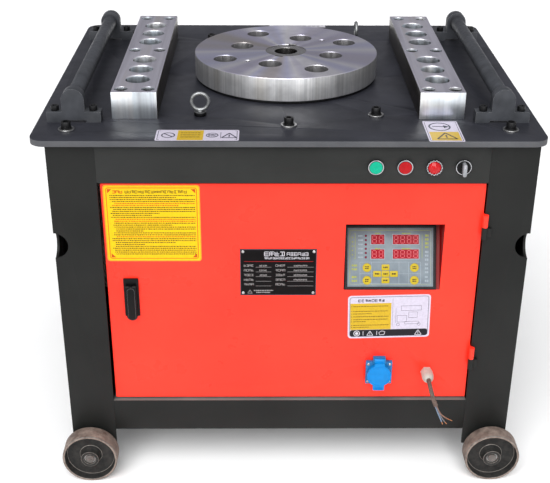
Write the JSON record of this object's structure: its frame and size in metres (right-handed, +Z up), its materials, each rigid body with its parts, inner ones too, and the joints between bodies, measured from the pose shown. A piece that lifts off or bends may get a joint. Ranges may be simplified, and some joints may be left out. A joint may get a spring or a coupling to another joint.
{
  "type": "rebar bender",
  "caption": "Wheeled steel cabinet with a power-driven slotted working disc on its table, drilled tooling blocks, guide rollers, a hinged door and push-button controls.",
  "frame": {"origin": "on the floor under the middle of the table, on the working disc's axis", "axes": "+X to the operator's right along the table, -Y towards the operator, +Z up"},
  "size_m": [1.015, 0.8888, 0.8689],
  "materials": {
    "frame_paint": "satin dark grey powder coat",
    "table_paint": "satin dark grey",
    "door_paint": "semi-gloss orange red",
    "machined_steel": "turned and ground",
    "shaft_steel": "turned",
    "roller_steel": "dark grey satin",
    "black_steel": "black oxide",
    "zinc_steel": "zinc plated",
    "wheel_iron": "cast with a worn, lightly rusted tread",
    "grey_iron": "painted casting",
    "chrome_trim": "polished",
    "green_plastic": "gloss",
    "red_plastic": "gloss",
    "lamp_plastic": "gloss, translucent",
    "knob_plastic": "satin grey",
    "black_plastic": "matte",
    "panel_film": "satin printed film",
    "blue_plastic": "semi-gloss",
    "gland_plastic": "satin cream",
    "cord_jacket": "matte",
    "core_plastic": "matte",
    "label_black": "satin printed plate",
    "bronze": "cut",
    "belt_rubber": "matte",
    "motor_paint": "blue grey enamel",
    "box_paint": "pale grey enamel"
  },
  "bodies": {
    "frame": {"table_plate": "table_paint", "leg_front_left": "frame_paint", "leg_front_right": "frame_paint", "leg_back_left": "frame_paint", "leg_back_right": "frame_paint", "front_top_rail": "frame_paint", "front_bottom_rail": "frame_paint", "side_panels": "frame_paint", "back_panel": "frame_paint", "base_pan": "frame_paint", "wheel_axles": "zinc_steel", "axle_fasteners": "zinc_steel", "frame_hinge_barrels": "black_steel", "control_bezels": "chrome_trim", "lamp_lens": "lamp_plastic", "contact_blocks": "black_plastic", "tooling_block_left": "machined_steel", "tooling_block_right": "machined_steel", "tooling_screws": "black_steel", "table_screws": "black_steel", "eye_bolts": "zinc_steel", "roller_brackets": "roller_steel", "base_ring": "black_steel", "gearbox_housing": "grey_iron", "gearbox_cover": "grey_iron", "gearbox_bearings": "zinc_steel", "drive_belts": "belt_rubber", "motor_body": "motor_paint", "electrical_box": "box_paint"},
    "disc": {"working_disc": "machined_steel", "shaft_keys": "shaft_steel", "main_shaft": "shaft_steel", "worm_wheel": "bronze"},
    "worm": {"worm_shaft": "shaft_steel", "driven_pulley": "grey_iron"},
    "rotor": {"motor_pulley": "grey_iron", "motor_rotor": "shaft_steel"},
    "door": {"door_panel": "door_paint", "door_hinge_barrels": "door_paint", "lock_plate": "black_steel", "nameplate": "label_black", "controller_tray": "door_paint", "controller_housing": "black_plastic", "controller_panel": "panel_film", "socket_base": "blue_plastic", "cable_gland": "gland_plastic", "power_cord": "cord_jacket", "cord_cores": "core_plastic"},
    "lock": {"lock_cam": "zinc_steel"},
    "lever": {"lock_lever": "black_steel"},
    "lid": {"socket_lid": "blue_plastic"},
    "green": {"green_button": "green_plastic"},
    "red": {"red_button": "red_plastic"},
    "selector": {"selector_knob": "knob_plastic"},
    "left_roller": {"roller_left": "roller_steel"},
    "right_roller": {"roller_right": "roller_steel"},
    "wheel_fl": {"wheel_front_left": "wheel_iron"},
    "wheel_fr": {"wheel_front_right": "wheel_iron"},
    "wheel_bl": {"wheel_back_left": "wheel_iron"},
    "wheel_br": {"wheel_back_right": "wheel_iron"}
  },
  "joints": [
    {"name": "disc_spin", "type": "hinge", "parent": "frame", "child": "disc", "pos_m": [0, 0, 0.83], "axis": [0, 0, 1], "continuous": true},
    {"name": "worm_spin", "type": "hinge", "parent": "frame", "child": "worm", "pos_m": [0, 0.145, 0.665], "axis": [1, 0, 0], "continuous": true},
    {"name": "motor_spin", "type": "hinge", "parent": "frame", "child": "rotor", "pos_m": [0, 0.145, 0.228], "axis": [1, 0, 0], "continuous": true},
    {"name": "door_hinge", "type": "hinge", "parent": "frame", "child": "door", "pos_m": [0.393, -0.3969, 0.45], "axis": [0, 0, 1], "range_deg": [0, 120]},
    {"name": "lock_turn", "type": "hinge", "parent": "door", "child": "lock", "pos_m": [-0.3235, -0.38, 0.462], "axis": [0, -1, 0], "range_deg": [0, 90]},
    {"name": "lock_lever_lift", "type": "hinge", "parent": "lock", "child": "lever", "pos_m": [-0.3235, -0.3905, 0.47], "axis": [-1, 0, 0], "range_deg": [0, 35]},
    {"name": "socket_lid_hinge", "type": "hinge", "parent": "door", "child": "lid", "pos_m": [0.1985, -0.3922, 0.2915], "axis": [-1, 0, 0], "range_deg": [0, 100], "stiffness_Nm_per_rad": 0.05, "springref_deg": -28.65},
    {"name": "green_press", "type": "slide", "parent": "frame", "child": "green", "axis": [0, 1, 0], "range_m": [0, 0.0035], "stiffness_N_per_m": 600, "springref_m": -0.002},
    {"name": "red_press", "type": "slide", "parent": "frame", "child": "red", "axis": [0, 1, 0], "range_m": [0, 0.0035], "stiffness_N_per_m": 600, "springref_m": -0.002},
    {"name": "selector_turn", "type": "hinge", "parent": "frame", "child": "selector", "pos_m": [0.34, -0.4, 0.74], "axis": [0, 1, 0], "range_deg": [-45, 45]},
    {"name": "roller_left_spin", "type": "hinge", "parent": "frame", "child": "left_roller", "pos_m": [-0.426, 0, 0.8465], "axis": [0, 1, 0], "continuous": true},
    {"name": "roller_right_spin", "type": "hinge", "parent": "frame", "child": "right_roller", "pos_m": [0.426, 0, 0.8465], "axis": [0, 1, 0], "continuous": true},
    {"name": "wheel_front_left_spin", "type": "hinge", "parent": "frame", "child": "wheel_fl", "pos_m": [-0.432, -0.414, 0.06], "axis": [0, 1, 0], "continuous": true},
    {"name": "wheel_front_right_spin", "type": "hinge", "parent": "frame", "child": "wheel_fr", "pos_m": [0.455, -0.414, 0.06], "axis": [0, 1, 0], "continuous": true},
    {"name": "wheel_back_left_spin", "type": "hinge", "parent": "frame", "child": "wheel_bl", "pos_m": [-0.432, 0.414, 0.06], "axis": [0, 1, 0], "continuous": true},
    {"name": "wheel_back_right_spin", "type": "hinge", "parent": "frame", "child": "wheel_br", "pos_m": [0.455, 0.414, 0.06], "axis": [0, 1, 0], "continuous": true}
  ],
  "couplings": [
    {"joint": "worm_spin", "follows": "disc_spin", "ratio": 60},
    {"joint": "motor_spin", "follows": "disc_spin", "ratio": 120}
  ]
}
